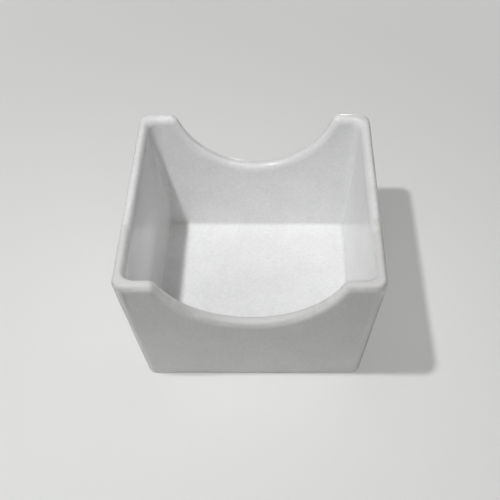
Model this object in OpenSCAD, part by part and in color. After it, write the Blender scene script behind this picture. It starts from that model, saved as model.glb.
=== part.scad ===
// Sugar packet holder: an open-top tray moulded in one piece, with four walls that lean in
// towards the base, and a round finger scoop in the middle of the front and back walls.
// Millimetres. The origin is the middle of the underside, +Z is up and the front faces -Y.

/* [Overall size] */
// Width between the outer faces of the side walls, at the height of the rim
top_w = 82.5; // [74:0.5:110]
// Depth between the outer faces of the front and back walls, at the height of the rim
top_d = 82.5; // [60:0.5:110]
// Height from the table to the tops of the ears
height = 50.8; // [38:0.2:70]
// How far each side wall leans in between the rim and the base
side_lean = 5.4; // [0:0.1:9]
// How far the front and back walls lean in between the rim and the base
end_lean = 5.5; // [0:0.1:9]

/* [Upright corners] */
// Outside radius of a corner at the rim
corner_r = 4.2; // [3.4:0.1:8]
// Outside radius of a corner at the base
base_corner_r = 3.5; // [2:0.1:8]
// Inside radius of a corner at the rim
inner_corner_r = 3.2; // [1.5:0.1:5]
// Inside radius of a corner at the floor
floor_corner_r = 1.8; // [1.3:0.1:5]

/* [Walls and floor] */
// Thickness of a side wall at the rim
side_rim_wall = 3.65; // [2:0.05:5]
// Thickness of a side wall where it meets the floor
side_foot_wall = 2.95; // [2:0.05:5]
// Thickness of the front and back walls at the rim
end_rim_wall = 4.2; // [2:0.05:6]
// Thickness of the front and back walls where they meet the floor
end_foot_wall = 4.4; // [2:0.05:6]
// Floor thickness, from the table to the floor's upper face
floor_t = 3.2; // [2:0.1:6]
// How far in from its face each edge of the rim is rounded
rim_round = 1.7; // [0.3:0.1:2.4]
// How far down each edge of the rim is rounded
rim_drop = 2.5; // [0.3:0.1:4]
// Fillet between the walls and the floor, inside
floor_fillet = 1; // [0.4:0.1:1.7]
// Rounding of the outer edge of the base
base_round = 0.8; // [0.4:0.1:1.9]

/* [Finger scoops] */
// Width of the ear left on each side of a scoop, from the side face to the scoop's edge
ear_w = 13; // [10.5:0.1:20]
// Depth of each scoop below the tops of the ears
scoop_depth = 20.2; // [10:0.1:26]
// Radius that blends each scoop into the tops of its ears
scoop_blend = 3.2; // [2.2:0.1:5]

/* [Underside] */
// Width of the flat foot rim that the tray stands on
foot_w = 5; // [3:0.5:12]
// Depth of the shallow recess inside the foot rim
foot_recess = 0.8; // [0.3:0.1:1.6]
// Radius of the recess's corners
recess_corner_r = 4; // [2.5:0.1:8]

/* [Hidden] */

// Steps that draw each quarter round, corner, blend and scoop
round_steps = 4;
corner_steps = 8;
blend_steps = 5;
scoop_steps = 32;
// Facets of the recess's round corners
recess_fn = 48;
// How far the recess's cut runs out below the base
overrun = 1;

// A rim edge takes at most this share of the thinner wall, so that the two edges never meet
rim_limit_share = 0.48;
rim_edge = min(rim_round, min(side_rim_wall, end_rim_wall) * rim_limit_share);
// It drops by at most this share of a scoop's blend, so that the blend keeps a radius below it
drop_limit_share = 0.85;
rim_fall = min(rim_drop, scoop_blend * drop_limit_share);

// The scoop is an arc through its bottom and its two edges between the ears
scoop_half_w = top_w / 2 - ear_w;
scoop_r = (pow(scoop_half_w, 2) + pow(scoop_depth, 2)) / (2 * scoop_depth);
scoop_centre_z = height - scoop_depth + scoop_r;
// A blend's centre lies inside the ear, one blend radius below its top
blend_z = height - scoop_blend;
blend_x = sqrt(pow(scoop_r + scoop_blend, 2) - pow(scoop_centre_z - blend_z, 2));
// Angle from straight down, at the scoop's centre, to where arc and blend meet
meet_angle = atan2(blend_x, scoop_centre_z - blend_z);

// Share of the way down from the rim to the base, and from the rim to the floor
function base_share(z) = (height - z) / height;
function floor_share(z) = (height - z) / (height - floor_t);

// Half width, half depth and corner radius of the outer faces at height z
function outer_w(z) = top_w / 2 - side_lean * base_share(z);
function outer_d(z) = top_d / 2 - end_lean * base_share(z);
function outer_r(z) = corner_r + (base_corner_r - corner_r) * base_share(z);

// The same of the inner faces, which stand off by the wall at that height
function side_wall(z) = side_rim_wall + (side_foot_wall - side_rim_wall) * floor_share(z);
function end_wall(z) = end_rim_wall + (end_foot_wall - end_rim_wall) * floor_share(z);
function inner_w(z) = outer_w(z) - side_wall(z);
function inner_d(z) = outer_d(z) - end_wall(z);
function inner_r(z) = inner_corner_r + (floor_corner_r - inner_corner_r) * floor_share(z);

// The rim's outline across an end wall. Each entry is a place on it as x and z, then the
// direction from there into the wall, square to the outline, as x and z too.
function blend_place(side, a) = [
    side * (blend_x - scoop_blend * sin(a)),
    blend_z + scoop_blend * cos(a),
    side * sin(a),
    -cos(a)
];
function scoop_place(a) = [
    scoop_r * sin(a),
    scoop_centre_z - scoop_r * cos(a),
    sin(a),
    -cos(a)
];
outline = concat(
    [for (k = [0 : blend_steps - 1]) blend_place(-1, meet_angle * k / blend_steps)],
    [for (k = [0 : scoop_steps]) scoop_place(meet_angle * (2 * k / scoop_steps - 1))],
    [for (k = [blend_steps - 1 : -1 : 0]) blend_place(1, meet_angle * k / blend_steps)]
);

// Stations run once round the tray, anticlockwise seen from above. On an end wall a station is
// an entry of the outline and the wall's side of the tray. At a corner it is a direction and
// the corner's two sides.
function end_stations(side) = [
    for (k = [0 : len(outline) - 1])
        concat(outline[side < 0 ? k : len(outline) - 1 - k], [side])
];
function corner_stations(from, side_x, side_y) = [
    for (k = [0 : corner_steps]) [from + 90 * k / corner_steps, side_x, side_y]
];
stations = concat(
    end_stations(-1),
    corner_stations(-90, 1, -1),
    corner_stations(0, 1, 1),
    end_stations(1),
    corner_stations(90, -1, 1),
    corner_stations(180, -1, -1)
);
function at_corner(s) = len(s) == 3;

// A station's point on a level ring with rounded corners. Share is how far along the ring's
// straight stretch an end wall's station lies.
function ring_point(s, half_w, half_d, r, z, share) =
    at_corner(s)
    ? [s[1] * (half_w - r) + r * cos(s[0]), s[2] * (half_d - r) + r * sin(s[0]), z]
    : [share * (half_w - r), s[4] * half_d, z];

// A station's point on the rim, at a depth into the wall from its crest, and moved out by some
// length from the outer face or from the inner face
function outer_rim_point(s, depth, out) =
    at_corner(s)
    ? let (z = height - depth)
        ring_point(s, outer_w(z) + out, outer_d(z) + out, outer_r(z) + out, z, 0)
    : let (z = s[1] + s[3] * depth)
        [s[0] + s[2] * depth, s[4] * (outer_d(z) + out), z];
function inner_rim_point(s, depth, out) =
    at_corner(s)
    ? let (z = height - depth)
        ring_point(s, inner_w(z) + out, inner_d(z) + out, inner_r(z) + out, z, 0)
    : let (z = s[1] + s[3] * depth)
        [s[0] + s[2] * depth, s[4] * (inner_d(z) + out), z];

// How far along the straight stretch an end wall's station lies, on each face
function outer_share(s) =
    at_corner(s)
    ? 0
    : let (p = outer_rim_point(s, rim_fall, 0)) p[0] / (outer_w(p[2]) - outer_r(p[2]));
function inner_share(s) =
    at_corner(s)
    ? 0
    : let (p = inner_rim_point(s, rim_fall, 0)) p[0] / (inner_w(p[2]) - inner_r(p[2]));

// Points of the base's edge and of the floor's fillet, moved in by some length from their face
function base_point(s, z, inset) =
    ring_point(s, outer_w(z) - inset, outer_d(z) - inset, outer_r(z) - inset, z, outer_share(s));
function floor_point(s, z, inset) =
    ring_point(s, inner_w(z) - inset, inner_d(z) - inset, inner_r(z) - inset, z, inner_share(s));

// One upright slice of the tray: round the base's edge, up the outer face, over the rim, down
// the inner face and round the fillet on to the floor. The rim's bends are quarter ellipses and
// the others are quarter rounds.
function bend(k) = 90 * k / round_steps;
function slice(s) = concat(
    [
        for (k = [0 : round_steps])
            base_point(s, base_round * (1 - cos(bend(k))), base_round * (1 - sin(bend(k))))
    ],
    [
        for (k = [0 : round_steps])
            outer_rim_point(s, rim_fall * (1 - sin(bend(k))), -rim_edge * (1 - cos(bend(k))))
    ],
    [
        for (k = [0 : round_steps])
            inner_rim_point(s, rim_fall * (1 - cos(bend(k))), rim_edge * (1 - sin(bend(k))))
    ],
    [
        for (k = [0 : round_steps])
            floor_point(s, floor_t + floor_fillet * (1 - sin(bend(k))),
                floor_fillet * (1 - cos(bend(k))))
    ]
);

// The tray on a plain flat base. Pairs of triangles join neighbouring slices, and a fan of
// triangles closes the base and another closes the floor.
module tray() {
    slices = [for (s = stations) slice(s)];
    count = len(slices);
    rows = len(slices[0]);
    base_middle = count * rows;
    floor_middle = base_middle + 1;
    points = concat([for (part = slices) each part], [[0, 0, 0], [0, 0, floor_t]]);
    sides = [
        for (i = [0 : count - 1], j = [0 : rows - 2])
            let (a = i * rows + j, b = (i + 1) % count * rows + j)
            each [[a, a + 1, b + 1], [a, b + 1, b]]
    ];
    base = [for (i = [0 : count - 1]) [base_middle, i * rows, (i + 1) % count * rows]];
    floor = [
        for (i = [1 : count])
            [floor_middle, (i % count + 1) * rows - 1, i * rows - 1]
    ];
    polyhedron(points, concat(sides, base, floor), convexity = 6);
}

// The space inside the foot rim, with round corners
module recess() {
    half_w = outer_w(0) - base_round - foot_w;
    half_d = outer_d(0) - base_round - foot_w;
    translate([0, 0, -overrun]) linear_extrude(overrun + foot_recess) {
        square([2 * half_w, 2 * (half_d - recess_corner_r)], center = true);
        square([2 * (half_w - recess_corner_r), 2 * half_d], center = true);
        for (x = [-1, 1], y = [-1, 1])
            translate([x * (half_w - recess_corner_r), y * (half_d - recess_corner_r)])
                circle(recess_corner_r, $fn = recess_fn);
    }
}

module holder_body() {
    color("whitesmoke") difference() {
        tray();
        recess();
    }
}

holder_body();
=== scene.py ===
"""Dresses the sugar packet holder: the glossy moulded tray, and the studio that it is shown in.

Everything is in metres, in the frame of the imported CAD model: the origin is the middle of the
underside, +Z is up and the front scoop faces -Y.
"""

import math
from types import SimpleNamespace

import bpy
from bpy.props import FloatProperty, FloatVectorProperty, PointerProperty
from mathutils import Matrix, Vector


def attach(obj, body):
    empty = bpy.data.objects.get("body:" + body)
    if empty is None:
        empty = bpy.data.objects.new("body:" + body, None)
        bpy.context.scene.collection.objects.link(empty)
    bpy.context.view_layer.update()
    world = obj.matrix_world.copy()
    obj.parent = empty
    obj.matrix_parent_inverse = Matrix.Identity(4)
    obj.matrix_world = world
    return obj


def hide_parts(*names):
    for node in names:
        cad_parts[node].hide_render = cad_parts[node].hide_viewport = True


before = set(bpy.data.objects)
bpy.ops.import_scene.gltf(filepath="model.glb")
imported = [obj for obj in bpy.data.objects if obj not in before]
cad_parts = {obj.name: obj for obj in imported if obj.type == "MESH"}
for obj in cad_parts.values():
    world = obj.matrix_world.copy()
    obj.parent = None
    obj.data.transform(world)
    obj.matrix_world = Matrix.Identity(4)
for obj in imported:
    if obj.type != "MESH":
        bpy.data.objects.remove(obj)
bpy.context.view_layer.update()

bl_info = {
    "name": "Sugar packet holder",
    "version": (1, 0, 0),
    "blender": (4, 5, 0),
    "location": "3D View > Sidebar > Holder",
    "description": "A sugar packet holder with finger scoops, moulded in one piece, on a floor",
    "category": "Add Mesh",
}

MM = 0.001
CAD_NODE = "holder_body"
PIECE = "tray_shell"
RIM_MASK = "rim_edge"
# Where painted shade may darken the rim's crest; the material keeps it to the front half
SHADED_RIM_MASK = "shaded_rim_edge"
FOOT_MASK = "foot_edge"
FLOOR_MASK = "well_floor"

# The photograph's camera, in the photograph's pixels: its width and height, the focal length,
# and where the camera's axis meets it
FRAME_PIXELS = 500
FOCAL_PIXELS = 859.2
AXIS_PIXEL = (280.2, 239.1)
# The point midway between the front and back walls that the camera is turned to, and the
# nearest and furthest that it sees, in metres
CAMERA_AIM = (0.00904, 0.0, 0.0283)
CAMERA_REACH = (0.01, 10.0)
# The width of the camera's sensor, in the camera's own millimetres
SENSOR_WIDTH = 36.0

# The four quarters of the tray are alike. A side's sign is 1 or -1, which are this far apart.
QUARTERS = 4
SIGN_SPAN = 2.0
# A rim edge takes at most this share of the thinner wall, and drops at most this share of the
# radius of a scoop's blend
RIM_LIMIT = 0.48
BLEND_LIMIT = 0.85

# The level that noise swings round, and how many finer layers each kind of noise has
MIDDLE_LEVEL = 0.5
CLOUD_DETAIL = 3.0
SPECK_DETAIL = 1.0
WEAR_DETAIL = 4.0
SCRATCH_DETAIL = 1.0
PEEL_DETAIL = 1.0
RIPPLE_DETAIL = 0.0
# How far the roughness follows the mottle, and how much a hairline adds to it
MOTTLE_DULLING = 0.1
SCRATCH_DULLING = 0.08
# How sharply wear and hairlines end, and how much of an edge is left clean by each kind of wear or
# painted shade
WEAR_CONTRAST = 4.0
SCRATCH_CONTRAST = 60.0
RIM_CLEAN = 1.52
FRONT_SHADE_CLEAN = 0.95
FOOT_CLEAN = 1.05
# Painted shade darkens the crest of the front half's rim: in metres in front of the middle, the
# length over which it grows
FRONT_SPAN = 0.024
# The well floor's two sets of hairlines: direction in radians, length and spacing in metres
HAIRLINES = ((0.5, 0.022, 0.0011), (2.2, 0.03, 0.0016))
# How deep red, green and blue light reach into the plastic, against each other
GLOW_REACH = (1.0, 0.97, 0.92)

# Steps of the mesh round one quarter of the tray, from the middle of a scoop to the middle of
# a side wall, and along one upright slice, from the middle of the underside to that of the floor
QUARTER_STEPS = {"scoop": 36, "blend": 8, "ear": 6, "corner": 16, "side": 8}
SLICE_STEPS = {
    "recess_top": 4,
    "recess_bend": 4,
    "recess_side": 1,
    "foot_bend": 4,
    "foot_flat": 3,
    "base_bend": 12,
    "outer_wall": 14,
    "outer_bend": 12,
    "crest": 2,
    "inner_bend": 12,
    "inner_wall": 14,
    "fillet": 10,
    "floor": 8,
}
# The point that all the lights are aimed at, in metres, and their colours
LIGHT_AIM = (0, 0, 0.02)
KEY_COLOUR = (0.988, 0.994, 1.0)
FILL_COLOUR = (1.0, 0.997, 0.972)
# Each light's place and size in metres, and its share of the key's or of the fill's power. The
# glint stands for a far lamp that is too weak to light the tray and only shines on its edges.
KEY_LIGHTS = {"key": ((-0.133, -0.08, 0.45), 0.024, 1.0)}
GLINT_LIGHTS = {"glint": ((0.1, -0.07, 0.34), 0.012, 0.15)}
FILL_LIGHTS = {
    "front": ((0.0, -0.7, 0.9), 1.1, 0.612),
    "top": ((0.0, 0.0, 0.35), 0.2, 0.033),
    "left": ((-0.25, -0.12, 0.3), 0.15, 0.01),
    "right": ((0.65, 0.08, 0.022), 0.044, 0.19),
    "behind": ((0.06, 0.65, 0.022), 0.044, 0.155),
}
# The floor runs this far to each side, in metres
FLOOR_REACH = 1.5
FLOOR_ROUGHNESS = 0.7
# The floor that the camera sees fades into the backdrop: by how much at the tray, and the
# distances in metres where the fade starts and where it is complete
BACKDROP_COLOUR = (1.0, 1.0, 0.99)
FADE_AT_TRAY = 0.3
FADE_START = 0.1
FADE_END = 0.6
# Points closer than this are one point: the seam, and the two poles in the middle
WELD = 0.001 * MM
# Nodes stand in a grid in the editor: how many in a row, and how far apart
NODES_IN_ROW = 12
NODE_STEP = (190.0, -230.0)


def millimetres(name, description, size):
    """A length that a user can set, stored in metres."""
    return FloatProperty(
        name=name, description=description, default=size * MM, min=0.0,
        subtype="DISTANCE", unit="LENGTH", precision=5,
    )


def share(name, description, default):
    """A share from 0 to 1 that a user can set."""
    return FloatProperty(
        name=name, description=description, default=default, min=0.0, max=1.0, subtype="FACTOR"
    )


def number(name, description, default):
    """A plain number, not below zero, that a user can set."""
    return FloatProperty(name=name, description=description, default=default, min=0.0, precision=3)


def colour(name, description, default):
    """A colour that a user can set."""
    return FloatVectorProperty(
        name=name, description=description, default=default, min=0.0, max=1.0,
        size=3, subtype="COLOR",
    )


class TrayShape(bpy.types.PropertyGroup):
    """Sizes of the moulded tray, the same as in its CAD source."""

    top_w: millimetres("Top width", "Width over the side walls at the rim", 82.5)
    top_d: millimetres("Top depth", "Depth over the front and back walls at the rim", 82.5)
    height: millimetres("Height", "From the table to the tops of the ears", 50.8)
    side_lean: millimetres("Side lean", "How far a side wall leans in towards the base", 5.4)
    end_lean: millimetres("End lean", "How far the front and back walls lean in", 5.5)
    corner_r: millimetres("Corner radius", "Outside radius of a corner at the rim", 4.2)
    base_corner_r: millimetres("Base corner radius", "Outside radius of a corner at the base", 3.5)
    inner_corner_r: millimetres("Inner corner radius", "Inside corner radius at the rim", 3.2)
    floor_corner_r: millimetres("Floor corner radius", "Inside corner radius at the floor", 1.8)
    side_rim_wall: millimetres("Side rim wall", "A side wall's thickness at the rim", 3.65)
    side_foot_wall: millimetres("Side foot wall", "A side wall's thickness at the floor", 2.95)
    end_rim_wall: millimetres("End rim wall", "An end wall's thickness at the rim", 4.2)
    end_foot_wall: millimetres("End foot wall", "An end wall's thickness at the floor", 4.4)
    floor_t: millimetres("Floor thickness", "From the table to the floor's upper face", 3.2)
    rim_round: millimetres("Rim rounding", "How far in each edge of the rim is rounded", 1.7)
    rim_drop: millimetres("Rim drop", "How far down each edge of the rim is rounded", 2.5)
    floor_fillet: millimetres("Floor fillet", "Fillet between the walls and the floor", 1)
    base_round: millimetres("Base rounding", "Rounding of the base's outer edge", 0.8)
    ear_w: millimetres("Ear width", "From a side face to the edge of a scoop", 13)
    scoop_depth: millimetres("Scoop depth", "Depth of a scoop below the ears", 20.2)
    scoop_blend: millimetres("Scoop blend", "Radius from a scoop into an ear's top", 3.2)
    foot_w: millimetres("Foot width", "Width of the flat foot rim", 5)
    foot_recess: millimetres("Foot recess", "Depth of the recess in the underside", 0.8)
    recess_corner_r: millimetres("Recess corner radius", "Radius of the recess's corners", 4)
    recess_round: millimetres("Recess rounding", "Rounding of the recess's edges", 0.3)


class TrayFinish(bpy.types.PropertyGroup):
    """Colour and gloss of the moulded plastic."""

    body_colour: colour("Body colour", "Colour of the moulding", (0.85, 0.85, 0.85))
    # The scuff colour is wear on the foot; on the rim it is wear mixed with painted shade on the
    # crest, and on the rim's front half it is painted shade
    scuff_and_shade_colour: colour("Scuff and shade colour", "Colour of the scuffed edges", (0.61, 0.6, 0.59))
    mottle: share("Mottle", "How far the body colour varies to each side", 0.14)
    cloud_size: millimetres("Cloud size", "Size of the soft clouds in the colour", 11)
    speck_size: millimetres("Speck size", "Size of the fine specks in the colour", 0.9)
    speck_share: share("Speck share", "How far specks outweigh clouds", 0.6)
    gloss_roughness: share("Roughness", "Roughness of a clean glossy face", 0.06)
    wear_patch: millimetres("Wear patch", "Size of the dulled patches on an edge", 3)
    peel_size: millimetres("Peel size", "Size of the gloss's fine unevenness", 2.4)
    peel_depth: millimetres("Peel depth", "Depth of the gloss's fine unevenness", 0.004)
    ripple_size: millimetres("Ripple size", "Size of the walls' slow ripples", 16)
    ripple_depth: millimetres("Ripple depth", "Depth of the walls' slow ripples", 0.03)
    scratch_depth: millimetres("Scratch depth", "Depth of the floor's hairlines", 0.002)
    rim_dulling: number("Rim dulling", "How much rougher the rim is than a clean face", 0.09)
    # On the rim the scuff colour is wear mixed with painted shade on the crest; on its front half
    # it is painted shade
    rim_scuff_and_shade: share("Rim scuffs and shade", "How far the scuff colour shows on a worn rim", 0.16)
    front_rim_shade: share("Front rim shade", "How far it shows on the rim's handled front half", 0.66)
    foot_scuff: share("Foot scuffs", "How far it shows on the foot rim", 0.5)
    dulling: number("Dulling", "How much rougher a fully scuffed edge is", 0.8)
    glow: share("Glow", "How much of the light passes through the plastic's skin", 0.25)
    glow_depth: millimetres("Glow depth", "How deep that light reaches", 1.5)


class StudioSetup(bpy.types.PropertyGroup):
    """The floor, the lights and the camera."""

    floor_colour: colour("Floor colour", "Colour of the studio floor", (0.8, 0.8, 0.785))
    key_watts: number("Key light", "Power of the small key light, in watts", 1.345)
    fill_watts: number("Fill light", "Power of the soft lights together, in watts", 2.58)
    backdrop: number("Backdrop", "Brightness of the backdrop that the camera sees", 0.9)
    ambient: number("Ambient light", "Brightness of the light from all round", 0.002)
    camera_distance: millimetres("Camera distance", "From the camera to its target", 295.1)
    camera_height: FloatProperty(
        name="Camera elevation", description="Angle of the camera above the horizon",
        default=math.radians(46.54), subtype="ANGLE", unit="ROTATION",
    )


def settings():
    """The values that a user has set, or their defaults."""
    scene = bpy.context.scene
    return scene.holder_shape, scene.holder_finish, scene.holder_studio


class Number:
    """A number in a node tree. Arithmetic on it places the Math nodes that work it out."""

    def __init__(self, socket):
        self.socket = socket

    def through(self, operation, *others, clamp=False):
        """What a Math node makes of this number and the others."""
        tree = self.socket.id_data
        node = put(tree, "ShaderNodeMath", operation=operation, use_clamp=clamp)
        for place, value in zip(node.inputs, (self, *others)):
            join(tree, value, place)
        return Number(node.outputs["Value"])

    def __add__(self, other):
        return self.through("ADD", other)

    def __sub__(self, other):
        return self.through("SUBTRACT", other)

    def __rsub__(self, other):
        return self.through("MULTIPLY_ADD", -1.0, other)

    def __mul__(self, other):
        return self.through("MULTIPLY", other)

    def __truediv__(self, other):
        return self.through("DIVIDE", other)

    __radd__, __rmul__ = __add__, __mul__


def join(tree, value, place):
    """Links a number or a socket to an input, or sets the input to a plain value."""
    if isinstance(value, Number):
        value = value.socket
    if isinstance(value, bpy.types.NodeSocket):
        tree.links.new(value, place)
    else:
        place.default_value = value


def put(tree, kind, inputs=None, **options):
    """Places a node in the tree's next free spot, with its options and its inputs."""
    node = tree.nodes.new(kind)
    row, column = divmod(len(tree.nodes), NODES_IN_ROW)
    node.location = (column * NODE_STEP[0], row * NODE_STEP[1])
    for name, value in options.items():
        setattr(node, name, value)
    for name, value in (inputs or {}).items():
        join(tree, value, node.inputs[name])
    return node


def mix(a, b, amount):
    """Between a and b, by an amount from 0 to 1."""
    return a + (b - a) * amount


def eased(t):
    """0 to 1 with short steps at both ends, so that flat faces shade flat up to their bends."""
    far = 1.0 - t
    return t * t / (t * t + far * far)


def ramps(place, steps):
    """For each named stretch, a number that goes from 0 to 1 along it and then stays there."""
    made, start = {}, 0
    for name, count in steps.items():
        made[name] = (place - float(start)).through("DIVIDE", float(count), clamp=True)
        start += count
    return SimpleNamespace(**made)


def quarter_sine(t):
    """Up from 0 to 1 as t does, steep first and level at the end."""
    return (t * (math.pi / 2)).through("SINE")


def quarter_cosine(t):
    """Down from 1 to 0 as t goes up, level first and steep at the end."""
    return (t * (math.pi / 2)).through("COSINE")


def tray_points(size, around, along):
    """The x, y and z of each point of the shell, and its masks.

    around counts the steps round the tray and along those of a slice. The formulas are those
    of the CAD source, with finer steps.
    """
    quarter = float(sum(QUARTER_STEPS.values()))
    at = ramps(around.through("PINGPONG", quarter), QUARTER_STEPS)
    on = ramps(along, SLICE_STEPS)
    side_x = 1.0 - around.through("GREATER_THAN", 2 * quarter) * SIGN_SPAN
    off_back = (around - 2 * quarter).through("ABSOLUTE")
    side_y = off_back.through("LESS_THAN", quarter) * SIGN_SPAN - 1.0

    half_w, half_d = size.top_w / 2.0, size.top_d / 2.0

    def faces(z, inner, out):
        """Half width, half depth and corner radius at z, on the outer or the inner face."""
        down = (size.height - z) / size.height
        down_well = (size.height - z) / (size.height - size.floor_t)
        off_side = out - inner * mix(size.side_rim_wall, size.side_foot_wall, down_well)
        off_end = out - inner * mix(size.end_rim_wall, size.end_foot_wall, down_well)
        outer_r = mix(size.corner_r, size.base_corner_r, down)
        inner_r = mix(size.inner_corner_r, size.floor_corner_r, down_well)
        return (
            half_w - size.side_lean * down + off_side,
            half_d - size.end_lean * down + off_end,
            mix(outer_r, inner_r, inner) + out,
        )

    def ring(end_x, half, depth, radius):
        """A point of a level ring, of which end_x is the place on the end wall."""
        straight = half - radius
        x = mix(end_x, straight, eased(at.ear)) + radius * quarter_sine(at.corner)
        y = (depth - radius) * (1.0 - at.side * at.side) + radius * quarter_cosine(at.corner)
        return x, y

    # The rim's outline over an end wall: the scoop's arc, its blend and the top of the ear
    reach = half_w - size.ear_w
    scoop_r = (reach * reach + size.scoop_depth * size.scoop_depth) / (2.0 * size.scoop_depth)
    scoop_z = size.height - size.scoop_depth + scoop_r
    blend_z = size.height - size.scoop_blend
    drop = scoop_z - blend_z
    both_r = scoop_r + size.scoop_blend
    blend_x = (both_r * both_r - drop * drop).through("SQRT")
    turn = blend_x.through("ARCTAN2", drop) * (at.scoop - at.blend)
    sine, cosine = turn.through("SINE"), turn.through("COSINE")
    on_blend = at.blend.through("GREATER_THAN", 0.0)
    outline_x = mix(scoop_r * sine, blend_x - size.scoop_blend * sine, on_blend)
    outline_z = mix(scoop_z - scoop_r * cosine, blend_z + size.scoop_blend * cosine, on_blend)

    # The rim: out of the outer wall, over the crest and down into the inner wall
    thin = size.side_rim_wall.through("MINIMUM", size.end_rim_wall)
    edge = size.rim_round.through("MINIMUM", thin * RIM_LIMIT)
    deep = size.rim_drop.through("MINIMUM", size.scoop_blend * BLEND_LIMIT)
    sunk = deep * (1.0 - quarter_sine(on.outer_bend) + (1.0 - quarter_cosine(on.inner_bend)))
    out = edge * mix(
        quarter_cosine(on.outer_bend) - 1.0, 1.0 - quarter_sine(on.inner_bend), on.crest
    )
    rim_z = outline_z - cosine * sunk
    rim_x, rim_y = ring(outline_x + sine * sunk, *faces(rim_z, on.crest, out))

    # Where a slice leaves the rim sets how far along the wall it stands lower down
    leave_z, leave_x = outline_z - cosine * deep, outline_x + sine * deep
    outer_leave = faces(leave_z, 0.0, 0.0)
    inner_leave = faces(leave_z, 1.0, 0.0)
    outer_share = leave_x / (outer_leave[0] - outer_leave[2])
    inner_share = leave_x / (inner_leave[0] - inner_leave[2])

    # The underside: the recess, the foot rim and the bend up into the outer wall
    small = size.recess_round
    low_z = (
        size.foot_recess
        - small * (1.0 - quarter_cosine(on.recess_bend))
        - (size.foot_recess - small * 2.0) * on.recess_side
        - small * quarter_sine(on.foot_bend)
        + size.base_round * (1.0 - quarter_cosine(on.base_bend))
    )
    low = faces(low_z, 0.0, size.base_round * (quarter_sine(on.base_bend) - 1.0))
    grow = small * (quarter_sine(on.recess_bend) - quarter_cosine(on.foot_bend))
    inset = size.base_round + size.foot_w
    recess = (
        half_w - size.side_lean - inset + grow,
        half_d - size.end_lean - inset + grow,
        size.recess_corner_r + grow,
    )
    low = [mix(a, b, on.foot_flat) for a, b in zip(recess, low)]
    low_x, low_y = ring(outer_share * (low[0] - low[2]), *low)
    near = 1.0 - on.recess_top
    shrink = 1.0 - near * near
    low_x, low_y = low_x * shrink, low_y * shrink

    # The floor: its fillet, and in to the middle
    fillet = size.floor_fillet
    floor_z = size.floor_t + fillet * (1.0 - quarter_sine(on.fillet))
    well = faces(floor_z, 1.0, fillet * (quarter_cosine(on.fillet) - 1.0))
    floor_x, floor_y = ring(inner_share * (well[0] - well[2]), *well)
    shrink = 1.0 - on.floor * on.floor
    floor_x, floor_y = floor_x * shrink, floor_y * shrink

    up, down = eased(on.outer_wall), eased(on.inner_wall)
    x = mix(mix(low_x, rim_x, up), floor_x, down)
    y = mix(mix(low_y, rim_y, up), floor_y, down)
    z = mix(mix(low_z, rim_z, up), floor_z, down)
    rim = quarter_sine(on.outer_bend) * quarter_cosine(on.inner_bend)
    masks = {
        RIM_MASK: rim,
        # Painted shade on the rim's crest goes where this is high: the rim, less where a scoop's
        # edge is steep
        SHADED_RIM_MASK: rim * cosine,
        FOOT_MASK: quarter_sine(on.foot_bend) * quarter_cosine(on.base_bend),
        FLOOR_MASK: quarter_sine(on.fillet),
    }
    return (x * side_x, y * side_y, z), masks


def shell_tree(shape):
    """The Geometry Nodes tree that makes the tray from its sizes, and its inputs by name."""
    tree = bpy.data.node_groups.new("Tray shell", "GeometryNodeTree")
    tree.is_modifier = True
    inputs = {}
    for key in TrayShape.__annotations__:
        prop = shape.bl_rna.properties[key]
        inputs[key] = tree.interface.new_socket(
            name=prop.name, in_out="INPUT", socket_type="NodeSocketFloat",
            description=prop.description,
        )
        inputs[key].subtype = "DISTANCE"
        inputs[key].default_value = prop.default
    inputs["finish"] = tree.interface.new_socket(
        name="Finish", in_out="INPUT", socket_type="NodeSocketMaterial"
    )
    tree.interface.new_socket(
        name="Geometry", in_out="OUTPUT", socket_type="NodeSocketGeometry"
    )
    given = put(tree, "NodeGroupInput")
    size = SimpleNamespace(
        **{k: Number(given.outputs[s.name]) for k, s in inputs.items() if k != "finish"}
    )

    round_steps = QUARTERS * sum(QUARTER_STEPS.values())
    slice_steps = sum(SLICE_STEPS.values())
    grid = put(tree, "GeometryNodeMeshGrid", {
        "Size X": float(round_steps), "Size Y": float(slice_steps),
        "Vertices X": round_steps + 1, "Vertices Y": slice_steps + 1,
    })
    spot = put(tree, "ShaderNodeSeparateXYZ", {
        "Vector": put(tree, "GeometryNodeInputPosition").outputs["Position"],
    })
    around = (Number(spot.outputs["X"]) + round_steps / 2).through("ROUND")
    along = (Number(spot.outputs["Y"]) + slice_steps / 2).through("ROUND")
    point, masks = tray_points(size, around, along)

    made = grid.outputs["Mesh"]
    for name, mask in masks.items():
        made = put(tree, "GeometryNodeStoreNamedAttribute", {
            "Geometry": made, "Name": name, "Value": mask,
        }, data_type="FLOAT", domain="POINT").outputs["Geometry"]
    place = put(tree, "ShaderNodeCombineXYZ", dict(zip("XYZ", point)))
    made = put(tree, "GeometryNodeSetPosition", {
        "Geometry": made, "Position": place.outputs["Vector"],
    }).outputs["Geometry"]
    made = put(tree, "GeometryNodeMergeByDistance", {
        "Geometry": made, "Distance": WELD,
    }).outputs["Geometry"]
    made = put(tree, "GeometryNodeSetShadeSmooth", {"Geometry": made}).outputs["Geometry"]
    made = put(tree, "GeometryNodeRealizeInstances", {"Geometry": made}).outputs["Geometry"]
    made = put(tree, "GeometryNodeSetMaterial", {
        "Geometry": made, "Material": given.outputs["Finish"],
    }).outputs["Geometry"]
    put(tree, "NodeGroupOutput", {"Geometry": made})
    return tree, inputs


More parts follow.
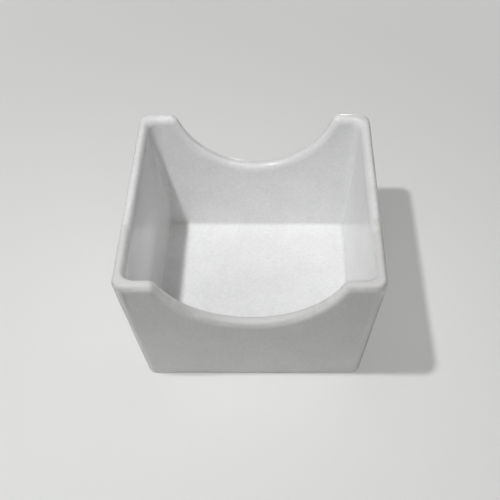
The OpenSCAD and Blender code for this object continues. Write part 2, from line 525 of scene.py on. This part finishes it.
def effect(name, takes, gives):
    """A shader node group with named inputs and outputs: its tree, and a Number for each input."""
    tree = bpy.data.node_groups.new(name, "ShaderNodeTree")
    for label in takes:
        kind = "NodeSocketVector" if label == "Place" else "NodeSocketFloat"
        tree.interface.new_socket(name=label, in_out="INPUT", socket_type=kind)
    tree.interface.new_socket(name=gives, in_out="OUTPUT", socket_type="NodeSocketFloat")
    given = put(tree, "NodeGroupInput")
    return tree, [Number(given.outputs[label]) for label in takes]


def placed(tree, group, *values):
    """Puts an effect into a material with its own values, and gives what comes out."""
    node = put(tree, "ShaderNodeGroup", node_tree=group)
    for place, value in zip(node.inputs, values):
        join(tree, value, place)
    return Number(node.outputs[0])


def noise(tree, place, size, detail):
    """Noise whose features are about this size in metres, as a number round the middle level."""
    scale = size.through("POWER", -1.0) if isinstance(size, Number) else 1.0 / size
    node = put(tree, "ShaderNodeTexNoise", {"Vector": place, "Scale": scale, "Detail": detail})
    return Number(node.outputs["Fac"])


def mottle_effect():
    """Soft clouds and fine specks in the colour of a moulding, round the middle level."""
    tree, (place, cloud_size, speck_size, speck_share) = effect(
        "Moulding mottle", ("Place", "Cloud size", "Speck size", "Speck share"), "Level"
    )
    clouds = noise(tree, place, cloud_size, CLOUD_DETAIL)
    specks = noise(tree, place, speck_size, SPECK_DETAIL)
    put(tree, "NodeGroupOutput", {"Level": mix(clouds, specks, speck_share)})
    return tree


def wear_and_shade_effect():
    """Patches that follow an edge mask, thinning out where the edge ends: worn, dulled gloss, and
    on the rim painted shade as well.
    """
    tree, (place, edge, patch_size, threshold) = effect(
        "Edge wear and shade", ("Place", "Edge", "Patch size", "Threshold"), "Worn"
    )
    patches = noise(tree, place, patch_size, WEAR_DETAIL)
    worn = (edge + patches - threshold).through("MULTIPLY", WEAR_CONTRAST, clamp=True)
    put(tree, "NodeGroupOutput", {"Worn": worn})
    return tree


def scratch_effect():
    """Hairline scratches that run mostly one way over a level face."""
    tree, (place, turn, length, spacing) = effect(
        "Hairline scratches", ("Place", "Turn", "Length", "Spacing"), "Scratched"
    )
    turned = put(tree, "ShaderNodeVectorRotate", {
        "Vector": place, "Angle": turn,
    }, rotation_type="Z_AXIS")
    along, across = length.through("POWER", -1.0), spacing.through("POWER", -1.0)
    stretch = put(tree, "ShaderNodeCombineXYZ", {"X": along, "Y": across, "Z": across})
    stretched = put(tree, "ShaderNodeVectorMath", operation="MULTIPLY")
    tree.links.new(turned.outputs["Vector"], stretched.inputs[0])
    tree.links.new(stretch.outputs["Vector"], stretched.inputs[1])
    level = noise(tree, stretched.outputs["Vector"], 1.0, SCRATCH_DETAIL)
    off_line = (level - MIDDLE_LEVEL).through("ABSOLUTE") * SCRATCH_CONTRAST
    put(tree, "NodeGroupOutput", {"Scratched": (1.0 - off_line).through("MAXIMUM", 0.0)})
    return tree


def tint(tree, amount, base, other):
    """A colour between two others, by an amount from 0 to 1."""
    node = put(tree, "ShaderNodeMix", data_type="RGBA")
    for place, value in zip([i for i in node.inputs if i.enabled], (amount, base, other)):
        join(tree, value, place)
    return next(o for o in node.outputs if o.enabled)


def shade_of(colour, factor):
    """A darker or lighter shade of a colour, with the alpha that a colour socket wants."""
    return (*(min(part * factor, 1.0) for part in colour), 1.0)


def melamine(finish):
    """The glossy white plastic of the tray, mottled, faintly rippled and worn at its edges, with
    painted shade on the crest of its rim, most on the front half.
    """
    material = bpy.data.materials.new("White melamine")
    material.use_nodes = True
    tree = material.node_tree
    shader = tree.nodes["Principled BSDF"]
    place = Number(put(tree, "ShaderNodeTexCoord").outputs["Object"])
    rim, shaded, foot, well = (
        Number(put(tree, "ShaderNodeAttribute", attribute_name=name).outputs["Fac"])
        for name in (RIM_MASK, SHADED_RIM_MASK, FOOT_MASK, FLOOR_MASK)
    )
    level = placed(
        tree, mottle_effect(), place, finish.cloud_size, finish.speck_size, finish.speck_share
    )
    # Painted shade on the rim's crest grows from the middle of the tray to the front
    spot = put(tree, "ShaderNodeSeparateXYZ", {"Vector": place})
    front = (Number(spot.outputs["Y"]) * -1.0).through("DIVIDE", FRONT_SPAN, clamp=True)
    wear = wear_and_shade_effect()
    # The rim's patches are partly wear and partly painted shade on its crest; the foot's are wear
    rim_wear_and_shade = placed(tree, wear, place, rim, finish.wear_patch, RIM_CLEAN)
    # Painted shade that darkens the front rim's crest, in worn-looking patches
    front_shade_patches = placed(tree, wear, place, shaded * front, finish.wear_patch, FRONT_SHADE_CLEAN)
    worn_foot = placed(tree, wear, place, foot, finish.wear_patch, FOOT_CLEAN)
    hairline = scratch_effect()
    one_way, other_way = (placed(tree, hairline, place, *values) for values in HAIRLINES)
    scratched = one_way.through("MAXIMUM", other_way) * well

    spread = finish.mottle
    base = tint(
        tree, level, shade_of(finish.body_colour, 1.0 - spread),
        shade_of(finish.body_colour, 1.0 + spread),
    )
    # The scuff colour darkens the foot's scuffs, the rim's wear mixed with painted shade, and the
    # front rim's crest as painted shade
    scuffed_and_shaded = (rim_wear_and_shade * finish.rim_scuff_and_shade).through("MAXIMUM", front_shade_patches * finish.front_rim_shade)
    scuffed_and_shaded = scuffed_and_shaded.through("MAXIMUM", worn_foot * finish.foot_scuff)
    base = tint(tree, scuffed_and_shaded, base, (*finish.scuff_and_shade_colour, 1.0))
    join(tree, base, shader.inputs["Base Color"])
    rough = (
        finish.gloss_roughness + (level - MIDDLE_LEVEL) * MOTTLE_DULLING
        + rim * finish.rim_dulling + scuffed_and_shaded * finish.dulling + scratched * SCRATCH_DULLING
    )
    join(tree, rough, shader.inputs["Roughness"])
    height = (
        noise(tree, place, finish.peel_size, PEEL_DETAIL) * finish.peel_depth
        + noise(tree, place, finish.ripple_size, RIPPLE_DETAIL) * finish.ripple_depth
        - scratched * finish.scratch_depth
    )
    # The height is in metres and is used in full
    bump = put(tree, "ShaderNodeBump", {"Height": height, "Distance": 1.0, "Strength": 1.0})
    join(tree, bump.outputs["Normal"], shader.inputs["Normal"])
    shader.inputs["Subsurface Weight"].default_value = finish.glow
    shader.inputs["Subsurface Radius"].default_value = GLOW_REACH
    shader.inputs["Subsurface Scale"].default_value = finish.glow_depth
    return material


class HOLDER_OT_make_tray(bpy.types.Operator):
    """Makes the moulded tray, which stands for its CAD solid"""

    bl_idname = "holder.make_tray"
    bl_label = "Make the tray"

    def execute(self, context):
        shape, finish, _ = settings()
        tree, inputs = shell_tree(shape)
        tray = bpy.data.objects.new(PIECE, bpy.data.meshes.new(PIECE))
        context.scene.collection.objects.link(tray)
        modifier = tray.modifiers.new("Tray shell", "NODES")
        modifier.node_group = tree
        plastic = melamine(finish)
        for key, socket in inputs.items():
            modifier[socket.identifier] = plastic if key == "finish" else getattr(shape, key)
        graph = context.evaluated_depsgraph_get()
        mesh = bpy.data.meshes.new_from_object(
            tray.evaluated_get(graph), preserve_all_data_layers=True, depsgraph=graph
        )
        if not mesh.polygons:
            raise RuntimeError("the tray's nodes made no mesh")
        tray.modifiers.clear()
        tray.data = mesh
        mesh.name = PIECE
        mesh.materials.clear()
        mesh.materials.append(plastic)
        mesh.polygons.foreach_set("material_index", [0] * len(mesh.polygons))
        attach(tray, "root")
        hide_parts(CAD_NODE)
        return {"FINISHED"}


class HOLDER_OT_make_stage(bpy.types.Operator):
    """Makes the pale studio floor, the lights and the camera"""

    bl_idname = "holder.make_stage"
    bl_label = "Make the stage"

    def execute(self, context):
        _, _, studio = settings()
        scene = context.scene
        make_floor(studio)
        make_lights(studio)
        make_camera(studio)
        scene.view_settings.view_transform = "Standard"
        return {"FINISHED"}


def make_floor(studio):
    """A plain pale floor, far larger than the view, that fades into the backdrop for the camera."""
    mesh = bpy.data.meshes.new("studio_floor")
    signs = [(-1, -1), (1, -1), (1, 1), (-1, 1)]
    corners = [(x * FLOOR_REACH, y * FLOOR_REACH, 0) for x, y in signs]
    mesh.from_pydata(corners, [], [(0, 1, 2, 3)])
    floor = bpy.data.objects.new("studio_floor", mesh)
    material = bpy.data.materials.new("Studio floor")
    material.use_nodes = True
    tree = material.node_tree
    shader = tree.nodes["Principled BSDF"]
    shader.inputs["Base Color"].default_value = (*studio.floor_colour, 1.0)
    shader.inputs["Roughness"].default_value = FLOOR_ROUGHNESS
    place = put(tree, "ShaderNodeTexCoord").outputs["Object"]
    far = put(tree, "ShaderNodeVectorMath", {0: place}, operation="LENGTH").outputs["Value"]
    fade = put(tree, "ShaderNodeMapRange", {
        "Value": far, "From Min": FADE_START, "From Max": FADE_END, "To Min": FADE_AT_TRAY,
    }, interpolation_type="SMOOTHSTEP").outputs["Result"]
    seen = Number(put(tree, "ShaderNodeLightPath").outputs["Is Camera Ray"])
    glow = put(tree, "ShaderNodeEmission", {
        "Color": (*BACKDROP_COLOUR, 1.0), "Strength": studio.backdrop,
    })
    blend = put(tree, "ShaderNodeMixShader", {
        0: seen * Number(fade), 1: shader.outputs["BSDF"], 2: glow.outputs["Emission"],
    })
    join(tree, blend.outputs["Shader"], tree.nodes["Material Output"].inputs["Surface"])
    mesh.materials.append(material)
    bpy.context.scene.collection.objects.link(floor)


def disk_light(name, at, size, watts, colour, glint_only):
    """A round soft light, aimed at the tray. One that only glints adds no diffuse light."""
    data = bpy.data.lights.new(name, "AREA")
    data.shape = "DISK"
    data.size = size
    data.energy = watts
    data.color = colour
    lamp = bpy.data.objects.new(name, data)
    lamp.location = Vector(at)
    lamp.rotation_mode = "QUATERNION"
    lamp.rotation_quaternion = (Vector(at) - Vector(LIGHT_AIM)).to_track_quat("Z", "Y")
    lamp.visible_diffuse = not glint_only
    bpy.context.scene.collection.objects.link(lamp)


def make_lights(studio):
    """A small key light high on the left, a glint, soft fill lights and a backdrop."""
    for lights, watts, colour in (
        (KEY_LIGHTS, studio.key_watts, KEY_COLOUR),
        (GLINT_LIGHTS, studio.key_watts, KEY_COLOUR),
        (FILL_LIGHTS, studio.fill_watts, FILL_COLOUR),
    ):
        for name, (at, size, part) in lights.items():
            disk_light(name, at, size, watts * part, colour, lights is GLINT_LIGHTS)
    # The backdrop is seen by the camera, and gives the tray hardly any light
    world = bpy.data.worlds.new("studio")
    world.use_nodes = True
    tree = world.node_tree
    background = tree.nodes["Background"]
    background.inputs["Color"].default_value = (*BACKDROP_COLOUR, 1.0)
    seen = Number(put(tree, "ShaderNodeLightPath").outputs["Is Camera Ray"])
    join(tree, mix(studio.ambient, studio.backdrop, seen), background.inputs["Strength"])
    bpy.context.scene.world = world


def make_camera(studio):
    """The camera, at the photograph's angle."""
    data = bpy.data.cameras.new("camera")
    data.sensor_width = SENSOR_WIDTH
    data.lens = FOCAL_PIXELS / FRAME_PIXELS * SENSOR_WIDTH
    data.shift_x = (FRAME_PIXELS / 2 - AXIS_PIXEL[0]) / FRAME_PIXELS
    data.shift_y = (AXIS_PIXEL[1] - FRAME_PIXELS / 2) / FRAME_PIXELS
    data.clip_start, data.clip_end = CAMERA_REACH
    camera = bpy.data.objects.new("camera", data)
    back = Vector((0.0, -math.cos(studio.camera_height), math.sin(studio.camera_height)))
    camera.location = Vector(CAMERA_AIM) + back * studio.camera_distance
    camera.rotation_euler = (math.pi / 2 - studio.camera_height, 0.0, 0.0)
    bpy.context.scene.collection.objects.link(camera)
    bpy.context.scene.camera = camera


class HOLDER_PT_panel(bpy.types.Panel):
    """Shows the sizes and colours that the pieces are made from, and the buttons that make them"""

    bl_idname = "HOLDER_PT_panel"
    bl_label = "Sugar packet holder"
    bl_space_type = "VIEW_3D"
    bl_region_type = "UI"
    bl_category = "Holder"

    def draw(self, context):
        for group, kind in zip(settings(), GROUPS.values()):
            column = self.layout.column(align=True)
            for key in kind.__annotations__:
                column.prop(group, key)
        self.layout.operator(HOLDER_OT_make_tray.bl_idname)
        self.layout.operator(HOLDER_OT_make_stage.bl_idname)


CLASSES = (
    TrayShape, TrayFinish, StudioSetup, HOLDER_OT_make_tray, HOLDER_OT_make_stage, HOLDER_PT_panel,
)
GROUPS = {"holder_shape": TrayShape, "holder_finish": TrayFinish, "holder_studio": StudioSetup}


def register():
    for kind in CLASSES:
        bpy.utils.register_class(kind)
    for name, group in GROUPS.items():
        setattr(bpy.types.Scene, name, PointerProperty(type=group))


def unregister():
    for name in GROUPS:
        delattr(bpy.types.Scene, name)
    for kind in reversed(CLASSES):
        bpy.utils.unregister_class(kind)


def main():
    register()
    bpy.ops.holder.make_tray()
    bpy.ops.holder.make_stage()


if __name__ == "__main__":
    main()
